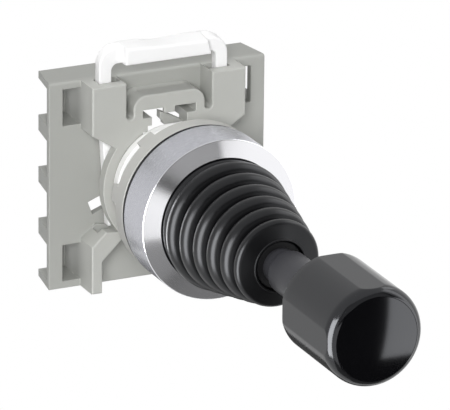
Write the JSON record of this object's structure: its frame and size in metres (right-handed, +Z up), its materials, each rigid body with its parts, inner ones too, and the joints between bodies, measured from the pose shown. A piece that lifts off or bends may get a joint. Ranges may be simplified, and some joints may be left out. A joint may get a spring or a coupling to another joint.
{
  "type": "industrial joystick",
  "caption": "Panel-mount industrial joystick with a four-flatted knob on a sprung lever, rubber boot, bright bezel, locking nut and clip-on holder with a sliding latch.",
  "frame": {"origin": "on the neck's axis, in the plane of the bezel's rear face where the gasket starts", "axes": "+X to the right, +Y back into the panel along the neck, +Z up; the lever points along -Y"},
  "size_m": [0.0418, 0.0962, 0.0458],
  "materials": {
    "bezel_chrome": "bright satin chrome plate",
    "gasket_rubber": "black rubber",
    "white_plastic": "white moulded plastic",
    "grey_plastic": "grey moulded plastic",
    "guide_plastic": "dark moulded plastic",
    "pin_steel": "ground steel",
    "spring_steel": "spring steel",
    "gimbal_brass": "turned brass",
    "shaft_plastic": "dark satin plastic",
    "tip_rubber": "black rubber",
    "knob_plastic": "black gloss plastic",
    "boot_rubber": "black rubber with a soft sheen",
    "plunger_plastic": "ivory plastic",
    "holder_plastic": "grey moulded plastic",
    "latch_plastic": "white moulded plastic"
  },
  "bodies": {
    "operator": {"bezel": "bezel_chrome", "panel_gasket": "gasket_rubber", "bellows_clamp": "spring_steel", "gate_plate": "spring_steel", "neck": "white_plastic", "locking_nut": "grey_plastic", "plunger_guide": "guide_plastic", "retaining_ring": "spring_steel", "gimbal_pin_right": "pin_steel", "gimbal_pin_left": "pin_steel", "holder": "holder_plastic", "return_spring": "spring_steel"},
    "gimbal": {"gimbal_ring": "gimbal_brass", "lever_pin": "pin_steel", "bellows": "boot_rubber"},
    "lever": {"lever_hub": "gimbal_brass", "lever_rod": "pin_steel", "rocker_disc": "guide_plastic", "rocker_screw": "pin_steel", "shaft_sleeve": "shaft_plastic", "tip_ring": "tip_rubber", "knob": "knob_plastic", "knob_insert": "gimbal_brass"},
    "push_right": {"plunger_right": "plunger_plastic"},
    "push_up": {"plunger_up": "plunger_plastic"},
    "push_left": {"plunger_left": "plunger_plastic"},
    "push_down": {"plunger_down": "plunger_plastic"},
    "latch_slide": {"latch": "latch_plastic"}
  },
  "joints": [
    {"name": "tilt_up_down", "type": "hinge", "parent": "operator", "child": "gimbal", "pos_m": [0, 0.002, 0], "axis": [1, 0, 0], "range_deg": [-12, 12], "stiffness_Nm_per_rad": 1, "deforming": ["bellows", "return_spring"]},
    {"name": "tilt_left_right", "type": "hinge", "parent": "gimbal", "child": "lever", "pos_m": [0, 0.002, 0], "axis": [0, 0, 1], "range_deg": [-12, 12], "stiffness_Nm_per_rad": 1},
    {"name": "push_right_travel", "type": "slide", "parent": "operator", "child": "push_right", "axis": [0, 1, 0], "range_m": [-0.00106, 0.00106]},
    {"name": "push_up_travel", "type": "slide", "parent": "operator", "child": "push_up", "axis": [0, 1, 0], "range_m": [-0.00106, 0.00106]},
    {"name": "push_left_travel", "type": "slide", "parent": "operator", "child": "push_left", "axis": [0, 1, 0], "range_m": [-0.00106, 0.00106]},
    {"name": "push_down_travel", "type": "slide", "parent": "operator", "child": "push_down", "axis": [0, 1, 0], "range_m": [-0.00106, 0.00106]},
    {"name": "latch_travel", "type": "slide", "parent": "operator", "child": "latch_slide", "axis": [0, 0, 1], "range_m": [-0.003, 0]}
  ],
  "couplings": [
    {"joint": "push_up_travel", "follows": "tilt_up_down", "m_per_rad": -0.005},
    {"joint": "push_down_travel", "follows": "tilt_up_down", "m_per_rad": 0.005},
    {"joint": "push_right_travel", "follows": "tilt_left_right", "m_per_rad": 0.005},
    {"joint": "push_left_travel", "follows": "tilt_left_right", "m_per_rad": -0.005}
  ]
}
